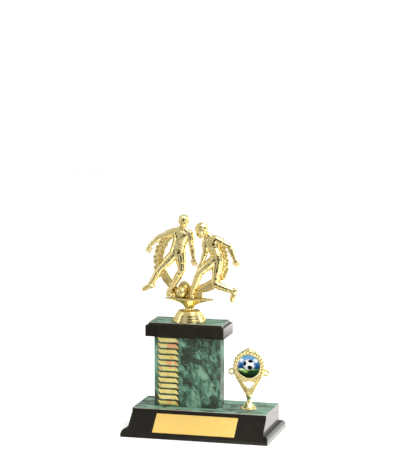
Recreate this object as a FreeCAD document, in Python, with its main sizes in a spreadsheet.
import FreeCAD, Part
import math
import os
import Sketcher
from FreeCAD import Placement, Rotation, Vector

# A figure trophy in millimetres. The origin is the centre of the base's footprint, on the
# surface it stands on. +Z is up, -Y is the front with the engraving plate, +X is to the right.

DIMENSIONS = {
    # Moulded base: a wedge with a sloping front, a laminated deck and a bead round its foot
    "base_width": 165.0,
    "base_depth": 91.0,
    "base_height": 28.0,
    "band_height": 3.4,
    "bead_radius": 5.6,
    "bead_ledge": 0.5,
    "ledge_height": 0.7,
    "deck_width": 151.2,
    "deck_front": 21.8,
    "deck_back": 40.0,
    "deck_lip": 4.2,
    "wall_draft": 0.4,
    "base_wall": 2.6,
    "slope_wall_run": 4.0,
    "laminate": 0.6,
    # Engraving plate on the sloping front
    "plate_width": 92.0,
    "plate_height": 26.0,
    "plate_thickness": 0.8,
    "plate_edge": 0.35,
    "plate_x": -1.2,
    "plate_rise": 14.4,
    "tape_thickness": 0.2,
    "tape_margin": 1.0,
    # Column: an extruded tube wrapped in marble film
    "column_x": -19.0,
    "column_y": 9.2,
    "column_width": 75.0,
    "column_depth": 32.0,
    "column_corner": 8.0,
    "column_wall": 1.6,
    "film_thickness": 0.2,
    "column_height": 78.6,
    "socket_depth": 3.0,
    "socket_gap": 0.1,
    "plug_height": 6.0,
    "plug_gap": 0.15,
    # Foil bars on the column's front
    "bar_length": 24.2,
    "bar_height": 4.2,
    "bar_pitch": 6.39,
    "bar_count": 12,
    "bar_slant": 3.3,
    "bar_tip": 0.9,
    "bar_bulge": 0.3,
    "bar_left": 5.6,
    "bar_bottom": 1.9,
    "bar_thickness": 0.12,
    # Cap with a cove round its top edge
    "cap_width": 88.6,
    "cap_depth": 42.4,
    "cap_height": 15.4,
    "cap_cove": 3.3,
    "cap_wall": 2.6,
    "cap_core_width": 62.0,
    "cap_core_depth": 22.0,
    # Tie rod, its nut and washer, and the ballast that they hold
    "rod_radius": 3.0,
    "rod_hole_radius": 3.3,
    "rod_bottom": 6.0,
    "rod_top": 133.0,
    "rod_chamfer": 0.6,
    "nut_flats": 10.0,
    "nut_height": 5.0,
    "nut_bore_gap": 0.05,
    "washer_radius": 9.0,
    "washer_thickness": 1.6,
    "ballast_width": 92.0,
    "ballast_depth": 40.0,
    "ballast_thickness": 6.0,
    # Figure: stepped riser, stage and stem
    "riser_radius": 18.9,
    "riser_tier": 3.1,
    "riser_shoulder": 11.6,
    "riser_height": 14.6,
    "riser_wall": 1.8,
    "riser_nut_height": 2.0,
    "stem_radius": 4.7,
    "peg_radius": 3.4,
    "peg_length": 2.0,
    "peg_gap": 0.05,
    "stage_half_width": 27.6,
    "stage_half_depth": 9.5,
    "stage_top": 25.6,
    "stage_thickness": 1.8,
    "ball_radius": 6.5,
    "ball_right": -8.4,
    "ball_back": -2.6,
    # Players
    "head_width": 9.4,
    "head_height": 12.8,
    "neck_radius": 2.7,
    "shoulder_radius": 3.6,
    "elbow_radius": 2.5,
    "wrist_radius": 1.7,
    "hand_radius": 2.2,
    "chest_half_width": 9.0,
    "chest_half_depth": 5.6,
    "chest_half_height": 9.0,
    "chest_radius": 5.6,
    "waist_radius": 5.8,
    "hip_radius": 5.8,
    "thigh_radius": 5.2,
    "knee_radius": 3.5,
    "ankle_radius": 2.4,
    "toe_radius": 2.4,
    "side_slimness": 0.86,
    # Laurel wreath behind the players
    "wreath_y": 5.0,
    "wreath_thickness": 3.4,
    # Disc holder on the deck
    "holder_x": 49.3,
    "holder_y": 7.0,
    "holder_foot_radius": 9.4,
    "holder_foot_rim": 1.0,
    "holder_neck_radius": 2.0,
    "holder_neck_height": 9.6,
    "holder_collar_radius": 3.3,
    "holder_collar_depth": 1.2,
    "holder_collar_height": 16.2,
    "holder_ring_height": 47.0,
    "holder_ring_radius": 17.8,
    "holder_ring_thickness": 4.6,
    "holder_leg_width": 3.6,
    "holder_leg_depth": 3.2,
    "fork_drop": 10.0,
    "fork_half_width": 16.2,
    "fork_gap_rise": 5.6,
    "fork_gap_drop": 12.0,
    "fork_gap_half": 8.0,
    "crown_height": 21.0,
    "crown_foot": 13.4,
    "crown_half": 11.5,
    "ear_offset": 19.1,
    "ear_drop": 6.7,
    "ear_radius": 3.2,
    "ear_wire": 1.0,
    "disc_radius": 12.5,
    "disc_thickness": 0.6,
    "disc_seat_gap": 0.1,
    "disc_recess": 1.8,
    "dome_inset": 0.2,
    "dome_rise": 1.7,
    "dome_crown": 0.8,
    "screw_radius": 1.5,
    "screw_length": 11.0,
    "screw_hole_radius": 1.7,
    "screw_head_radius": 3.0,
    "screw_head_height": 1.6,
    "small_washer_radius": 5.0,
    "small_washer_thickness": 0.8,
}

# How fast each turned or lofted flare opens out, as a power of the share of its height.
RISER_CURVE = 1.6
STAGE_CURVE = 2.6
FOOT_CURVE = 2.2
RISER_TIERS = 4
STAGE_STEPS = 5
FOOT_STEPS = 6
DOME_STEPS = 9

doc = FreeCAD.newDocument("FigureTrophy")
sheet = doc.addObject("Spreadsheet::Sheet", "Sizes")
for row, (alias, value) in enumerate(DIMENSIONS.items(), start=1):
    sheet.set(f"A{row}", alias)
    sheet.set(f"B{row}", str(value))
    sheet.setAlias(f"B{row}", alias)
doc.recompute()

PARTS = []
UP = Vector(0, 0, 1)
NEAR = 1e-4


def size(formula):
    """A formula over the sheet's cells, in millimetres, such as "cap_width / 2"."""
    found = sheet.evalExpression(linked(formula))
    return float(getattr(found, "Value", found))


def linked(formula):
    """The same formula with each cell's alias written as a reference to the sheet."""
    words = formula.replace("(", " ( ").replace(")", " ) ").split()
    return " ".join(f"Sizes.{word}" if word in DIMENSIONS else word for word in words)


def bind(item, **formulas):
    """Binds properties of one object to formulas over the sheet."""
    for name, formula in formulas.items():
        item.setExpression(name, linked(formula))
    return item


def place(item, x="0", y="0", z="0", turn=None):
    """Puts a sub-part at a position whose three coordinates are bound to the sheet."""
    item.Placement = Placement(Vector(size(x), size(y), size(z)), turn or Rotation())
    for axis, formula in (("x", x), ("y", y), ("z", z)):
        item.setExpression(f"Placement.Base.{axis}", linked(formula))
    return item


def keep(item, label):
    """Makes an object one of the trophy's sub-parts, under its own label."""
    item.Label = label
    PARTS.append(item)
    return item


# Sketched features

def new_body(label):
    return keep(doc.addObject("PartDesign::Body", label), label)


def new_sketch(body, role, name, offset="0"):
    """An empty sketch on one of the body's own origin planes, moved along its normal."""
    plane = next(item for item in body.Origin.OriginFeatures if item.Role == role)
    sketch = body.newObject("Sketcher::SketchObject", name)
    sketch.AttachmentSupport = [(plane, "")]
    sketch.MapMode = "FlatFace"
    sketch.AttachmentOffset = Placement(Vector(0, 0, size(offset)), Rotation())
    sketch.setExpression("AttachmentOffset.Base.z", linked(offset))
    return sketch


def draw_outline(sketch, corners):
    """A closed outline of straight lines, each corner's two coordinates bound to the sheet."""
    points = [Vector(size(x), size(y), 0) for x, y in corners]
    count = len(points)
    first = sketch.GeometryCount
    for index, point in enumerate(points):
        sketch.addGeometry(Part.LineSegment(point, points[(index + 1) % count]), False)
    for index in range(count):
        line, after = first + index, first + (index + 1) % count
        sketch.addConstraint(Sketcher.Constraint("Coincident", line, 2, after, 1))
    for index, corner in enumerate(corners):
        for kind, formula in zip(("DistanceX", "DistanceY"), corner):
            rule = Sketcher.Constraint(kind, -1, 1, first + index, 1, size(formula))
            number = sketch.addConstraint(rule)
            sketch.setExpression(f"Constraints[{number}]", linked(formula))
    return sketch


def draw_rectangle(sketch, width, height):
    """A rectangle centred on the sketch's origin."""
    half = (f"( {width} ) / 2", f"( {height} ) / 2")
    signs = ((-1, -1), (1, -1), (1, 1), (-1, 1))
    return draw_outline(sketch, [(f"{a} * {half[0]}", f"{b} * {half[1]}") for a, b in signs])


def draw_rounded_rectangle(sketch, width, height, corner):
    """A rectangle centred on the sketch's origin, with its corners rounded."""
    radius = size(corner)
    centre_x, centre_y = f"( {width} ) / 2 - ( {corner} )", f"( {height} ) / 2 - ( {corner} )"
    away_x, away_y = size(centre_x), size(centre_y)
    quadrants = ((1, 1), (-1, 1), (-1, -1), (1, -1))
    for index, (side_x, side_y) in enumerate(quadrants):
        circle = Part.Circle(Vector(side_x * away_x, side_y * away_y, 0), UP, radius)
        start = index * math.pi / 2
        sketch.addGeometry(Part.ArcOfCircle(circle, start, start + math.pi / 2), False)
    for index in range(4):
        arc, after = sketch.Geometry[index], sketch.Geometry[(index + 1) % 4]
        sketch.addGeometry(Part.LineSegment(arc.EndPoint, after.StartPoint), False)
    for index in range(4):
        line, after = 4 + index, (index + 1) % 4
        sketch.addConstraint(Sketcher.Constraint("Tangent", index, 2, line, 1))
        sketch.addConstraint(Sketcher.Constraint("Tangent", line, 2, after, 1))
        direction = "Horizontal" if index % 2 == 0 else "Vertical"
        sketch.addConstraint(Sketcher.Constraint(direction, line))
    for index in range(1, 4):
        sketch.addConstraint(Sketcher.Constraint("Equal", 0, index))
    bound = [("Radius", 0, None, corner)]
    for index in (0, 2):
        side_x, side_y = quadrants[index]
        bound.append(("DistanceX", index, 3, f"{side_x} * ( {centre_x} )"))
        bound.append(("DistanceY", index, 3, f"{side_y} * ( {centre_y} )"))
    for kind, item, point, formula in bound:
        ends = (item,) if point is None else (-1, 1, item, point)
        number = sketch.addConstraint(Sketcher.Constraint(kind, *ends, size(formula)))
        sketch.setExpression(f"Constraints[{number}]", linked(formula))
    return sketch


def draw_circle(sketch, radius, x="0", y="0"):
    centre = Vector(size(x), size(y), 0)
    number = sketch.addGeometry(Part.Circle(centre, UP, size(radius)), False)
    rules = (
        (Sketcher.Constraint("Radius", number, size(radius)), radius),
        (Sketcher.Constraint("DistanceX", -1, 1, number, 3, size(x)), x),
        (Sketcher.Constraint("DistanceY", -1, 1, number, 3, size(y)), y),
    )
    for rule, formula in rules:
        index = sketch.addConstraint(rule)
        sketch.setExpression(f"Constraints[{index}]", linked(formula))
    return sketch


def pad(body, sketch, length, midplane=False, back=False):
    feature = body.newObject("PartDesign::Pad", f"{sketch.Name}Pad")
    feature.Profile = sketch
    feature.Midplane = midplane
    feature.Reversed = back
    bind(feature, Length=length)
    doc.recompute()
    return feature


def pocket(body, sketch, length, midplane=False, back=False):
    """Cuts a pocket and checks that it took material away."""
    before = body.Shape.Volume
    feature = body.newObject("PartDesign::Pocket", f"{sketch.Name}Pocket")
    feature.Profile = sketch
    feature.Midplane = midplane
    feature.Reversed = back
    bind(feature, Length=length)
    doc.recompute()
    if body.Shape.Volume > before - NEAR:
        raise RuntimeError(f"the pocket {sketch.Name} cuts nothing")
    return feature


def revolve(body, sketch):
    feature = body.newObject("PartDesign::Revolution", f"{sketch.Name}Turned")
    feature.Profile = sketch
    feature.ReferenceAxis = (sketch, ["V_Axis"])
    feature.Angle = 360
    doc.recompute()
    return feature


def dress(body, kind, wanted, radius):
    """Rounds (Fillet) or bevels (Chamfer) the edges of the body that wanted(edge) picks."""
    base = body.Tip
    names = [
        f"Edge{number}"
        for number, edge in enumerate(base.Shape.Edges, start=1)
        if wanted(edge)
    ]
    if not names:
        raise RuntimeError(f"{body.Label}: no edge to dress")
    feature = body.newObject(f"PartDesign::{kind}", f"{body.Name}{kind}")
    feature.Base = (base, names)
    bind(feature, **{"Radius" if kind == "Fillet" else "Size": radius})
    doc.recompute()
    return feature


def upright(edge):
    """True for a straight edge along Z."""
    ends = [vertex.Point for vertex in edge.Vertexes]
    return len(ends) == 2 and math.hypot(ends[0].x - ends[1].x, ends[0].y - ends[1].y) < NEAR


def at_height(height):
    """Picks the edges that lie level at a height."""
    level = size(height)
    return lambda edge: all(abs(vertex.Point.z - level) < NEAR for vertex in edge.Vertexes)


# Base, deck and engraving plate

def make_base_moulding():
    body = new_body("base_moulding")
    foot, ledge = "band_height + bead_radius", "base_width / 2 - bead_radius - bead_ledge"
    wall = "deck_width / 2 + wall_draft"
    top = "base_height - laminate"
    half = [
        ("base_width / 2", "0"),
        ("base_width / 2", foot),
        (ledge, foot),
        (ledge, f"{foot} + ledge_height"),
        (wall, f"{foot} + ledge_height"),
        ("deck_width / 2", top),
    ]
    mirrored = [(f"-1 * ( {x} )", z) for x, z in reversed(half)]
    end = draw_outline(new_sketch(body, "XZ_Plane", "EndProfile"), half + mirrored)
    pad(body, end, "base_depth", midplane=True)

    middle, above = "base_depth / 2", "base_height + 1"
    slope = [
        (f"-1 * ( {middle} )", "band_height"),
        ("-1 * deck_front", "base_height - deck_lip"),
        ("-1 * deck_front", above),
        (f"-1 * ( {middle} + 1 )", above),
        (f"-1 * ( {middle} + 1 )", "band_height"),
    ]
    sketch = draw_outline(new_sketch(body, "YZ_Plane", "FrontSlope"), slope)
    pocket(body, sketch, "base_width + 2", midplane=True)
    rear_ledge = "base_depth / 2 - bead_radius - bead_ledge"
    rear = [
        (f"{middle} + 1", foot),
        (rear_ledge, foot),
        (rear_ledge, f"{foot} + ledge_height"),
        ("deck_back", f"{foot} + ledge_height"),
        ("deck_back", above),
        (f"{middle} + 1", above),
    ]
    sketch = draw_outline(new_sketch(body, "YZ_Plane", "RearWall"), rear)
    pocket(body, sketch, "base_width + 2", midplane=True)

    def bead(edge):
        """The outer edge of the bead, at both ends and along the back."""
        points = [vertex.Point for vertex in edge.Vertexes]
        level = all(abs(point.z - size(foot)) < NEAR for point in points)
        at_end = all(abs(abs(point.x) - size("base_width / 2")) < NEAR for point in points)
        at_back = all(abs(point.y - size(middle)) < NEAR for point in points)
        return level and (at_end or at_back)

    dress(body, "Fillet", bead, "bead_radius - 0.01")

    ceiling = "base_height - laminate - base_wall"
    inside = [
        ("-1 * ( base_depth / 2 - slope_wall_run )", "-1"),
        ("-1 * ( base_depth / 2 - slope_wall_run )", "band_height"),
        ("-1 * ( deck_front - slope_wall_run )", "base_height - deck_lip"),
        ("-1 * ( deck_front - slope_wall_run )", ceiling),
        ("deck_back - base_wall", ceiling),
        ("deck_back - base_wall", "-1"),
    ]
    sketch = draw_outline(new_sketch(body, "YZ_Plane", "Hollow"), inside)
    pocket(body, sketch, "deck_width - 2 * base_wall", midplane=True)
    hole = new_sketch(body, "XY_Plane", "RodHole")
    draw_circle(hole, "rod_hole_radius", "column_x", "column_y")
    pocket(body, hole, "base_height + 1", back=True)
    hole = new_sketch(body, "XY_Plane", "ScrewHole")
    draw_circle(hole, "screw_hole_radius", "holder_x", "holder_y")
    pocket(body, hole, "base_height + 1", back=True)
    return body


def make_deck_panel():
    """The marble laminate that covers the base's deck."""
    body = new_body("deck_panel")
    sketch = new_sketch(body, "XY_Plane", "DeckOutline")
    draw_rectangle(sketch, "deck_width", "deck_front + deck_back")
    pad(body, sketch, "laminate")
    middle = "( deck_back - deck_front ) / 2"
    hole = new_sketch(body, "XY_Plane", "DeckRodHole")
    draw_circle(hole, "rod_hole_radius", "column_x", f"column_y - {middle}")
    pocket(body, hole, "laminate + 1", back=True)
    hole = new_sketch(body, "XY_Plane", "DeckScrewHole")
    draw_circle(hole, "screw_hole_radius", "holder_x", f"holder_y - {middle}")
    pocket(body, hole, "laminate + 1", back=True)
    return place(body, y=middle, z="base_height - laminate")


def slope_tilt():
    """How far the sloping front leans back from level, in degrees."""
    rise = size("base_height - deck_lip - band_height")
    run = size("base_depth / 2 - deck_front")
    return math.degrees(math.atan2(rise, run))


def put_on_slope(body, lift):
    """Lays a sub-part on the sloping front, lifted off it by a thickness."""
    tilt = math.radians(slope_tilt())
    share = "( plate_rise - band_height ) / ( base_height - deck_lip - band_height )"
    slope_y = f"-1 * base_depth / 2 + {share} * ( base_depth / 2 - deck_front )"
    y = f"{slope_y} - {math.sin(tilt):.6f} * ( {lift} )"
    z = f"plate_rise + {math.cos(tilt):.6f} * ( {lift} )"
    return place(body, "plate_x", y, z, Rotation(Vector(1, 0, 0), slope_tilt()))


def make_plate_tape():
    body = new_body("plate_tape")
    sketch = new_sketch(body, "XY_Plane", "TapeOutline")
    draw_rectangle(sketch, "plate_width - 2 * tape_margin", "plate_height - 2 * tape_margin")
    pad(body, sketch, "tape_thickness")
    return put_on_slope(body, "0")


def make_engraving_plate():
    body = new_body("engraving_plate")
    sketch = new_sketch(body, "XY_Plane", "PlateOutline")
    draw_rectangle(sketch, "plate_width", "plate_height")
    pad(body, sketch, "plate_thickness")
    dress(body, "Chamfer", at_height("plate_thickness"), "plate_edge")
    return put_on_slope(body, "tape_thickness")


# Column, cap and what clamps them

def rounded_block(body, name, width, depth, corner, height):
    sketch = new_sketch(body, "XY_Plane", name)
    pad(body, draw_rounded_rectangle(sketch, width, depth, corner), height)


def rounded_hole(body, name, width, depth, corner, height):
    sketch = new_sketch(body, "XY_Plane", name)
    pocket(body, draw_rounded_rectangle(sketch, width, depth, corner), height, back=True)


def make_sleeve(label, inset, wall, height):
    """A rounded rectangular tube whose outside is the column's outline, set in by inset."""
    body = new_body(label)
    name = label.title().replace("_", "")
    inner = f"{inset} + {wall}"
    outside = (f"column_width - 2 * {inset}", f"column_depth - 2 * {inset}")
    inside = (f"column_width - 2 * ( {inner} )", f"column_depth - 2 * ( {inner} )")
    rounded_block(body, f"{name}Outside", *outside, f"column_corner - {inset}", height)
    rounded_hole(body, f"{name}Inside", *inside, f"column_corner - ( {inner} )", height)
    return place(body, "column_x", "column_y", "base_height")


def make_foil_bars():
    """Slanted foil strips, one above the other, that follow the column's rounded front."""
    thickness = size("bar_thickness")
    outline = []
    for grow in (0.0, thickness):
        width = size("column_width") + 2 * grow
        depth = size("column_depth") + 2 * grow
        box = Part.makeBox(width, depth, size("column_height"), Vector(-width / 2, -depth / 2, 0))
        corners = [edge for edge in box.Edges if upright(edge)]
        outline.append(box.makeFillet(size("column_corner") + grow, corners))
    skin = outline[1].cut(outline[0])
    left = size("bar_left - column_width / 2")
    right = left + size("bar_length")
    slant, tip, height = size("bar_slant"), size("bar_tip"), size("bar_height")
    front = -size("column_depth")
    bulge = Vector(size("bar_bulge"), 0, size("bar_bulge") / 2)
    bars = []
    for index in range(int(size("bar_count"))):
        low = size("bar_bottom") + index * size("bar_pitch")
        corners = [
            Vector(left, front, low + height + tip),
            Vector(left + slant, front, low + height),
            Vector(right - slant, front, low + height),
            Vector(right, front, low - tip),
            Vector(right - slant, front, low),
            Vector(left + slant, front, low),
        ]
        right_middle = corners[2].add(corners[3]).multiply(0.5).add(bulge)
        left_middle = corners[5].add(corners[0]).multiply(0.5).sub(bulge)
        edges = [
            Part.LineSegment(corners[0], corners[1]).toShape(),
            Part.LineSegment(corners[1], corners[2]).toShape(),
            Part.Arc(corners[2], right_middle, corners[3]).toShape(),
            Part.LineSegment(corners[3], corners[4]).toShape(),
            Part.LineSegment(corners[4], corners[5]).toShape(),
            Part.Arc(corners[5], left_middle, corners[0]).toShape(),
        ]
        cutter = Part.Face(Part.Wire(edges)).extrude(Vector(0, -front, 0))
        bars.extend(skin.common(cutter).Solids)
    item = keep(doc.addObject("Part::Feature", "foil_bars"), "foil_bars")
    item.Shape = Part.makeCompound(bars)
    return place(item, "column_x", "column_y", "base_height")


def make_plug(label, z):
    """A moulded plug that centres one end of the tube on the tie rod."""
    body = new_body(label)
    name = label.title().replace("_", "")
    inset = "film_thickness + column_wall + plug_gap"
    width, depth = f"column_width - 2 * ( {inset} )", f"column_depth - 2 * ( {inset} )"
    corner = f"column_corner - ( {inset} )"
    rounded_block(body, f"{name}Outside", width, depth, corner, "plug_height")
    hole = draw_circle(new_sketch(body, "XY_Plane", f"{name}Hole"), "rod_hole_radius")
    pocket(body, hole, "plug_height + 1", back=True)
    return place(body, "column_x", "column_y", z)


def make_cap_moulding():
    body = new_body("cap_moulding")
    height = "cap_height - laminate"
    sketch = draw_rectangle(new_sketch(body, "XY_Plane", "CapOutline"), "cap_width", "cap_depth")
    pad(body, sketch, height)
    for role, half in (("XZ_Plane", "cap_width / 2"), ("YZ_Plane", "cap_depth / 2")):
        for side, sign in (("Low", -1), ("High", 1)):
            cove = new_sketch(body, role, f"Cove{role[:2]}{side}")
            draw_circle(cove, "cap_cove", f"{sign} * {half}", "cap_height")
            pocket(body, cove, "cap_width + 2", midplane=True)
    socket = ("column_width + 2 * socket_gap", "column_depth + 2 * socket_gap")
    rounded_hole(body, "CapSocket", *socket, "column_corner", "socket_depth")
    core = new_sketch(body, "XY_Plane", "CapCore")
    draw_rectangle(core, "cap_core_width", "cap_core_depth")
    pocket(body, core, f"{height} - cap_wall", back=True)
    hole = draw_circle(new_sketch(body, "XY_Plane", "CapHole"), "rod_hole_radius")
    pocket(body, hole, "cap_height + 1", back=True)
    return place(body, "column_x", "column_y", "base_height + column_height")


def make_cap_panel():
    body = new_body("cap_panel")
    sketch = new_sketch(body, "XY_Plane", "CapPanelOutline")
    draw_rectangle(sketch, "cap_width - 2 * cap_cove", "cap_depth - 2 * cap_cove")
    pad(body, sketch, "laminate")
    hole = draw_circle(new_sketch(body, "XY_Plane", "CapPanelHole"), "rod_hole_radius")
    pocket(body, hole, "laminate + 1", back=True)
    level = "base_height + column_height + cap_height - laminate"
    return place(body, "column_x", "column_y", level)


def make_tie_rod():
    body = new_body("tie_rod")
    sketch = draw_circle(new_sketch(body, "XY_Plane", "RodSection"), "rod_radius")
    pad(body, sketch, "rod_top - rod_bottom")
    dress(body, "Chamfer", lambda edge: not upright(edge), "rod_chamfer")
    return place(body, "column_x", "column_y", "rod_bottom")


def make_washer(label, radius, hole_radius, thickness, x, y, z):
    body = new_body(label)
    name = label.title().replace("_", "")
    sketch = draw_circle(new_sketch(body, "XY_Plane", f"{name}Ring"), radius)
    draw_circle(sketch, hole_radius)
    pad(body, sketch, thickness)
    return place(body, x, y, z)


def make_nut(label, z):
    """A plain hexagon nut on the tie rod."""
    body = new_body(label)
    name = label.title().replace("_", "")
    side = "nut_flats / 2 / 0.8660254"
    corners = []
    for index in range(6):
        angle = math.radians(60 * index)
        corners.append((f"{math.cos(angle):.6f} * {side}", f"{math.sin(angle):.6f} * {side}"))
    sketch = draw_outline(new_sketch(body, "XY_Plane", f"{name}Hexagon"), corners)
    draw_circle(sketch, "rod_radius + nut_bore_gap")
    pad(body, sketch, "nut_height")
    return place(body, "column_x", "column_y", z)


def make_ballast_plate():
    """A steel plate under the deck that keeps the tall trophy steady."""
    body = new_body("ballast_plate")
    sketch = new_sketch(body, "XY_Plane", "BallastOutline")
    draw_rectangle(sketch, "ballast_width", "ballast_depth")
    pad(body, sketch, "ballast_thickness")
    hole = draw_circle(new_sketch(body, "XY_Plane", "BallastHole"), "rod_hole_radius")
    pocket(body, hole, "ballast_thickness + 1", back=True)
    level = "base_height - laminate - base_wall - ballast_thickness"
    return place(body, "column_x", "column_y", level)


# Figure: riser, stage, ball, players and wreath

CAP_TOP = "base_height + column_height + cap_height"


def make_figure_riser():
    """A hollow dome of stepped tiers, turned about the tie rod."""
    body = new_body("figure_riser")
    profile = [("riser_radius - riser_wall", "0"), ("riser_radius", "0")]
    fall = "( riser_radius - riser_shoulder )"
    for index in range(1, RISER_TIERS + 1):
        share = (index / RISER_TIERS) ** RISER_CURVE
        level = f"{index} * riser_tier"
        lower = (((index - 1) / RISER_TIERS) ** RISER_CURVE + share) / 2
        profile.append((f"riser_radius - {lower:.4f} * {fall}", level))
        profile.append((f"riser_radius - {share:.4f} * {fall}", level))
    profile.append(("stem_radius", "riser_height"))
    profile.append(("peg_radius + peg_gap", "riser_height"))
    profile.append(("peg_radius + peg_gap", "riser_height - riser_wall"))
    profile.append(("riser_shoulder - riser_wall", f"{RISER_TIERS} * riser_tier - riser_wall"))
    sketch = draw_outline(new_sketch(body, "XZ_Plane", "RiserProfile"), profile)
    revolve(body, sketch)
    return place(body, "column_x", "column_y", CAP_TOP)


def lozenge(wide, deep):
    """The corners of a lozenge that reaches wide along X and deep along Y."""
    return [(wide, "0"), ("0", deep), (f"-1 * ( {wide} )", "0"), ("0", f"-1 * ( {deep} )")]


def make_figure_stage():
    """A lozenge-shaped stage whose underside flares down into a narrow stem."""
    body = new_body("figure_stage")
    sections = []
    reach = "( stage_top - stage_thickness - riser_height )"
    for index in range(STAGE_STEPS):
        rise = index / (STAGE_STEPS - 1)
        flare = rise ** STAGE_CURVE
        wide = f"stem_radius + {flare:.4f} * ( stage_half_width - stem_radius )"
        deep = f"stem_radius + {flare:.4f} * ( stage_half_depth - stem_radius )"
        level = f"riser_height + {rise:.4f} * {reach}"
        sketch = new_sketch(body, "XY_Plane", f"StageSection{index}", level)
        sections.append(draw_outline(sketch, lozenge(wide, deep)))
    loft = body.newObject("PartDesign::AdditiveLoft", "StageFlare")
    loft.Profile = sections[0]
    loft.Sections = sections[1:]
    loft.Ruled = True
    doc.recompute()
    rim = new_sketch(body, "XY_Plane", "StageRim", "stage_top - stage_thickness")
    draw_outline(rim, lozenge("stage_half_width", "stage_half_depth"))
    pad(body, rim, "stage_thickness")
    peg = draw_circle(new_sketch(body, "XY_Plane", "StagePeg", "riser_height"), "peg_radius")
    pad(body, peg, "peg_length", back=True)
    return place(body, "column_x", "column_y", CAP_TOP)


def make_match_ball():
    ball = keep(doc.addObject("Part::Sphere", "match_ball"), "match_ball")
    bind(ball, Radius="ball_radius")
    level = f"{CAP_TOP} + stage_top + ball_radius"
    return place(ball, "column_x + ball_right", "column_y + ball_back", level)


# A pose gives each joint of a player as (x, y, z) from the foot of the riser's axis.
FRONT_POSE = {
    "head": (-6.0, -1.5, 111.6),
    "neck": (-7.6, -0.5, 103.5),
    "chest": (-9.0, 0.0, 95.0),
    "waist": (-11.9, 0.0, 82.5),
    "hips": (-13.6, 0.0, 74.5),
    "right_shoulder": (-17.3, 0.0, 98.6),
    "right_elbow": (-33.4, -1.5, 92.3),
    "right_wrist": (-43.8, -4.0, 83.2),
    "right_hand": (-45.4, -4.5, 78.2),
    "left_shoulder": (0.4, 0.0, 97.0),
    "left_elbow": (2.9, 0.0, 83.0),
    "left_wrist": (5.6, -3.0, 70.4),
    "left_hand": (7.0, -3.5, 64.5),
    "right_hip": (-17.2, 0.0, 73.0),
    "right_knee": (-32.2, -4.5, 56.6),
    "right_ankle": (-42.8, -6.5, 39.6),
    "right_toe": (-50.0, -9.0, 36.4),
    "left_hip": (-10.0, 0.0, 72.5),
    "left_knee": (-7.4, -4.0, 56.4),
    "left_ankle": (-22.4, -1.0, 32.0),
    "left_toe": (-16.0, -5.5, 28.2),
}
SIDE_POSE = {
    "head": (13.4, -1.5, 101.8),
    "neck": (20.0, -0.5, 96.4),
    "chest": (25.3, 0.0, 87.6),
    "waist": (30.2, 0.0, 77.0),
    "hips": (31.8, 0.0, 71.0),
    "right_shoulder": (19.2, -1.0, 88.6),
    "right_elbow": (19.0, -3.5, 76.8),
    "right_wrist": (15.6, -5.0, 66.0),
    "right_hand": (13.6, -5.5, 61.8),
    "left_shoulder": (30.0, 0.0, 92.0),
    "left_elbow": (45.0, 1.0, 84.6),
    "left_wrist": (51.4, -1.0, 70.6),
    "left_hand": (54.2, -1.5, 65.6),
    "right_hip": (28.6, -0.5, 69.0),
    "right_knee": (12.6, -4.0, 54.6),
    "right_ankle": (3.6, -1.5, 31.6),
    "right_toe": (5.0, -6.0, 28.2),
    "left_hip": (33.4, 0.0, 69.5),
    "left_knee": (29.6, -3.0, 42.4),
    "left_ankle": (49.8, 0.0, 35.4),
    "left_toe": (46.8, -1.5, 26.2),
}
LIMBS = (
    ("neck", "chest", "neck_radius", "chest_radius"),
    ("chest", "waist", "chest_radius", "waist_radius"),
    ("waist", "hips", "waist_radius", "hip_radius"),
)
SIDE_LIMBS = (
    ("chest", "{}_shoulder", "chest_radius", "shoulder_radius"),
    ("{}_shoulder", "{}_elbow", "shoulder_radius", "elbow_radius"),
    ("{}_elbow", "{}_wrist", "elbow_radius", "wrist_radius"),
    ("{}_wrist", "{}_hand", "wrist_radius", "hand_radius"),
    ("hips", "{}_hip", "hip_radius", "thigh_radius"),
    ("{}_hip", "{}_knee", "thigh_radius", "knee_radius"),
    ("{}_knee", "{}_ankle", "knee_radius", "ankle_radius"),
    ("{}_ankle", "{}_toe", "ankle_radius", "toe_radius"),
)


def add_ball_joint(name, centre, radius):
    ball = doc.addObject("Part::Sphere", name)
    bind(ball, Radius=radius)
    ball.Placement = Placement(centre, Rotation())
    return ball


def add_limb(name, start, end, start_radius, end_radius):
    """A tapering limb from one joint to the next."""
    limb = doc.addObject("Part::Cone", name)
    along = end.sub(start)
    bind(limb, Radius1=start_radius, Radius2=end_radius)
    limb.Height = along.Length
    limb.Placement = Placement(start, Rotation(UP, along))
    return limb


def add_egg(name, centre, up, half_width, half_depth, half_height):
    """An egg shape whose long axis follows up."""
    egg = doc.addObject("Part::Ellipsoid", name)
    bind(egg, Radius1=half_height, Radius2=half_width, Radius3=half_depth)
    egg.Placement = Placement(centre, Rotation(UP, up))
    return egg


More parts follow.
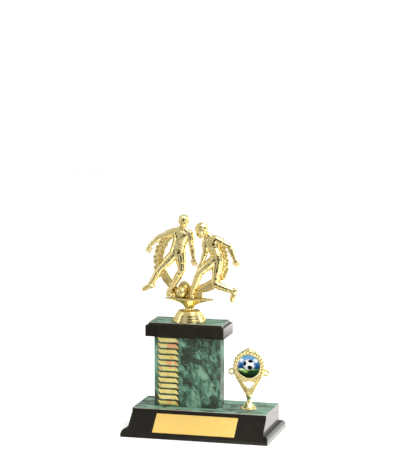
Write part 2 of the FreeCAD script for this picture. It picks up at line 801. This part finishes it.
def make_player(label, pose, slimness="1"):
    """A footballer of tapered limbs that meet in ball joints, with egg shapes for the chest
    and the head."""
    points = {joint: Vector(*place_at) for joint, place_at in pose.items()}
    limbs = list(LIMBS)
    for side in ("right", "left"):
        limbs += [(a.format(side), b.format(side), c, d) for a, b, c, d in SIDE_LIMBS]
    pieces, widest = [], {"chest": "chest_radius"}
    for start, end, start_radius, end_radius in limbs:
        name = f"{label}_{start}_{end}"
        pieces.append(add_limb(name, points[start], points[end], start_radius, end_radius))
        widest.setdefault(end, end_radius)
    for joint, radius in widest.items():
        pieces.append(add_ball_joint(f"{label}_{joint}", points[joint], radius))
    half = "head_width / 2"
    head = add_egg(f"{label}_head", points["head"], UP, half, half, "head_height / 2")
    spine = points["chest"].sub(points["hips"])
    wide = f"{slimness} * chest_half_width"
    depth, height = "chest_half_depth", "chest_half_height"
    chest = add_egg(f"{label}_ribs", points["chest"], spine, wide, depth, height)
    ends = (points["neck"], points["head"])
    throat = add_limb(f"{label}_throat", *ends, "neck_radius + 0.1", "neck_radius")
    pieces += [head, chest, throat]
    player = keep(doc.addObject("Part::MultiFuse", label), label)
    player.Shapes = pieces
    return place(player, "column_x", "column_y", CAP_TOP)


# Outlines of the wreath's pieces, (x, z) from the foot of the riser's axis.
LEFT_BRANCH = (
    (-25.5, 96.0), (-32.4, 89.3), (-37.6, 80.8), (-40.0, 69.6), (-39.6, 59.4), (-34.4, 46.7),
    (-25.8, 36.8), (-15.0, 29.5), (-12.6, 35.0), (-21.0, 44.4), (-29.4, 56.6), (-30.6, 65.0),
    (-28.6, 73.8), (-22.9, 85.1),
)
RIGHT_BRANCH = (
    (36.4, 85.5), (41.6, 75.6), (42.1, 65.6), (39.8, 54.4), (35.6, 44.1), (28.0, 36.0),
    (20.5, 32.4), (13.6, 31.0), (13.0, 40.4), (24.1, 46.7), (30.5, 56.0), (32.0, 67.0),
    (31.5, 79.0),
)
TIE = (
    (-16.5, 25.6), (-14.4, 33.0), (-12.4, 40.3), (-6.7, 43.7), (-0.1, 38.5), (5.0, 33.0),
    (12.6, 34.4), (13.2, 25.6),
)


def make_wreath_piece(label, outline):
    """A flat moulded piece of the wreath, standing behind the players."""
    body = new_body(label)
    sketch = new_sketch(body, "XZ_Plane", f"{label.title().replace('_', '')}Outline")
    draw_outline(sketch, [(str(x), str(z)) for x, z in outline])
    pad(body, sketch, "wreath_thickness", midplane=True)
    return place(body, "column_x", "column_y + wreath_y", CAP_TOP)


# Disc holder

def make_holder_foot():
    """A trumpet foot with a collar, threaded inside for its fixing screw."""
    body = new_body("holder_foot")
    profile = [
        ("screw_radius", "0"),
        ("holder_foot_radius", "0"),
        ("holder_foot_radius", "holder_foot_rim"),
    ]
    for index in range(1, FOOT_STEPS + 1):
        rise = index / FOOT_STEPS
        flare = (1 - rise) ** FOOT_CURVE
        radius = f"holder_neck_radius + {flare:.4f} * ( holder_foot_radius - holder_neck_radius )"
        level = f"holder_foot_rim + {rise:.4f} * ( holder_neck_height - holder_foot_rim )"
        profile.append((radius, level))
    screw_end = "screw_length - base_wall - laminate - small_washer_thickness"
    profile.append(("holder_collar_radius", "holder_collar_height - holder_collar_depth"))
    profile.append(("holder_collar_radius", "holder_collar_height"))
    profile.append(("0", "holder_collar_height"))
    profile.append(("0", screw_end))
    profile.append(("screw_radius", screw_end))
    sketch = draw_outline(new_sketch(body, "XZ_Plane", "FootProfile"), profile)
    revolve(body, sketch)
    return place(body, "holder_x", "holder_y", "base_height")


def make_holder_frame():
    """A ring with a seat for the disc, a crown, two ears, and a forked leg to the collar."""
    depth = size("holder_ring_thickness")
    centre = Vector(0, 0, size("holder_ring_height"))
    front = Vector(0, -1, 0)

    def lying_cylinder(radius, start, end):
        """A cylinder along Y between two depths, about the ring's centre."""
        return Part.makeCylinder(radius, end - start, centre.add(Vector(0, -start, 0)), front)

    ring = lying_cylinder(size("holder_ring_radius"), -depth / 2, depth / 2)
    collar = size("holder_collar_height")
    half, thick = size("holder_leg_width"), size("holder_leg_depth")
    reach, spread = centre.z - size("fork_drop"), size("fork_half_width")
    fork = [
        Vector(-half, 0, collar),
        Vector(half, 0, collar),
        Vector(spread, 0, reach),
        Vector(-spread, 0, reach),
    ]
    gap_top, gap_half = centre.z - size("fork_gap_drop"), size("fork_gap_half")
    gap = [
        Vector(0, 0, collar + size("fork_gap_rise")),
        Vector(gap_half, 0, gap_top),
        Vector(-gap_half, 0, gap_top),
    ]
    crown_foot, crown_half = centre.z + size("crown_foot"), size("crown_half")
    crown = [
        Vector(-crown_half, 0, crown_foot),
        Vector(crown_half, 0, crown_foot),
        Vector(0, 0, centre.z + size("crown_height")),
    ]
    plates = []
    for corners in (fork, gap, crown):
        moved = [corner.sub(Vector(0, thick / 2, 0)) for corner in corners]
        plates.append(Part.Face(Part.makePolygon(moved + moved[:1])).extrude(Vector(0, thick, 0)))
    ears = []
    for side in (-1, 1):
        middle = centre.add(Vector(side * size("ear_offset"), 0, -size("ear_drop")))
        ears.append(Part.makeTorus(size("ear_radius"), size("ear_wire"), middle, front))
    shape = ring.fuse([plates[0].cut(plates[1]), plates[2]] + ears)
    seat = size("disc_radius + disc_seat_gap")
    shape = shape.cut(lying_cylinder(seat, depth / 2 - size("disc_recess"), depth))
    item = keep(doc.addObject("Part::Feature", "holder_frame"), "holder_frame")
    item.Shape = shape.removeSplitter()
    return place(item, "holder_x", "holder_y", "base_height")


DISC_FRONT = "holder_y - holder_ring_thickness / 2 + disc_recess"


def make_centre_disc():
    disc = keep(doc.addObject("Part::Cylinder", "centre_disc"), "centre_disc")
    bind(disc, Radius="disc_radius", Height="disc_thickness")
    turn = Rotation(Vector(1, 0, 0), 90)
    return place(disc, "holder_x", DISC_FRONT, "base_height + holder_ring_height", turn)


def make_disc_dome():
    """The clear domed lens over the printed disc, turned about the disc's axis."""
    body = new_body("disc_dome")
    profile = [("0", "0"), ("disc_radius - dome_inset", "0")]
    for index in range(1, DOME_STEPS):
        angle = math.pi / 2 * index / DOME_STEPS
        radius = f"{math.cos(angle):.4f} * ( disc_radius - dome_inset )"
        profile.append((radius, f"{math.sin(angle):.4f} * dome_rise"))
    profile.append(("dome_crown", "dome_rise"))
    profile.append(("0", "dome_rise"))
    revolve(body, draw_outline(new_sketch(body, "XZ_Plane", "DomeProfile"), profile))
    y, z = f"{DISC_FRONT} - disc_thickness", "base_height + holder_ring_height"
    return place(body, "holder_x", y, z, Rotation(Vector(1, 0, 0), 90))


def make_holder_screw():
    """The screw that comes up through the deck into the holder's foot."""
    body = new_body("holder_screw")
    profile = [
        ("0", "0"),
        ("screw_head_radius", "0"),
        ("screw_head_radius", "screw_head_height"),
        ("screw_radius", "screw_head_height"),
        ("screw_radius", "screw_head_height + screw_length"),
        ("0", "screw_head_height + screw_length"),
    ]
    revolve(body, draw_outline(new_sketch(body, "XZ_Plane", "ScrewProfile"), profile))
    under = "base_height - laminate - base_wall - small_washer_thickness - screw_head_height"
    return place(body, "holder_x", "holder_y", under)


def make_all():
    ceiling = "base_height - laminate - base_wall"
    make_base_moulding()
    make_deck_panel()
    make_plate_tape()
    make_engraving_plate()
    make_sleeve("column_tube", "film_thickness", "column_wall", "column_height + socket_depth")
    make_sleeve("column_film", "0", "film_thickness", "column_height + socket_depth")
    make_foil_bars()
    make_plug("lower_plug", "base_height")
    make_plug("upper_plug", "base_height + column_height + socket_depth - plug_height")
    make_cap_moulding()
    make_cap_panel()
    make_tie_rod()
    make_ballast_plate()
    washer_level = f"{ceiling} - ballast_thickness - washer_thickness"
    make_washer(
        "rod_washer", "washer_radius", "rod_hole_radius", "washer_thickness",
        "column_x", "column_y", washer_level,
    )
    make_nut("rod_nut", f"{washer_level} - nut_height")
    make_nut("figure_nut", f"{CAP_TOP} + riser_nut_height")
    make_figure_riser()
    make_figure_stage()
    make_match_ball()
    make_player("player_front", FRONT_POSE)
    make_player("player_side", SIDE_POSE, "side_slimness")
    make_wreath_piece("wreath_left", LEFT_BRANCH)
    make_wreath_piece("wreath_right", RIGHT_BRANCH)
    make_wreath_piece("wreath_tie", TIE)
    make_holder_foot()
    make_holder_frame()
    make_centre_disc()
    make_disc_dome()
    make_holder_screw()
    make_washer(
        "holder_washer", "small_washer_radius", "screw_hole_radius", "small_washer_thickness",
        "holder_x", "holder_y", f"{ceiling} - small_washer_thickness",
    )


def check_all():
    """Stops before anything is written if the document holds a failed or empty object."""
    doc.recompute()
    for item in doc.Objects:
        if "Invalid" in item.State or "Error" in item.State:
            raise RuntimeError(f"{item.Label} failed: {item.State}")
    for item in PARTS:
        if item.Shape.isNull() or not item.Shape.isValid():
            raise RuntimeError(f"{item.Label} has no valid shape")


def write_all():
    os.makedirs("parts", exist_ok=True)
    for item in PARTS:
        item.Shape.exportStep(f"parts/{item.Label}.step")
        box = item.Shape.BoundBox
        low = f"{box.XMin:.1f} {box.YMin:.1f} {box.ZMin:.1f}"
        high = f"{box.XMax:.1f} {box.YMax:.1f} {box.ZMax:.1f}"
        made = f"{len(item.Shape.Solids)} solid(s), {item.Shape.Volume:.0f} mm3"
        print(f"{item.Label}: {made}, {low} to {high}")


make_all()
check_all()
write_all()
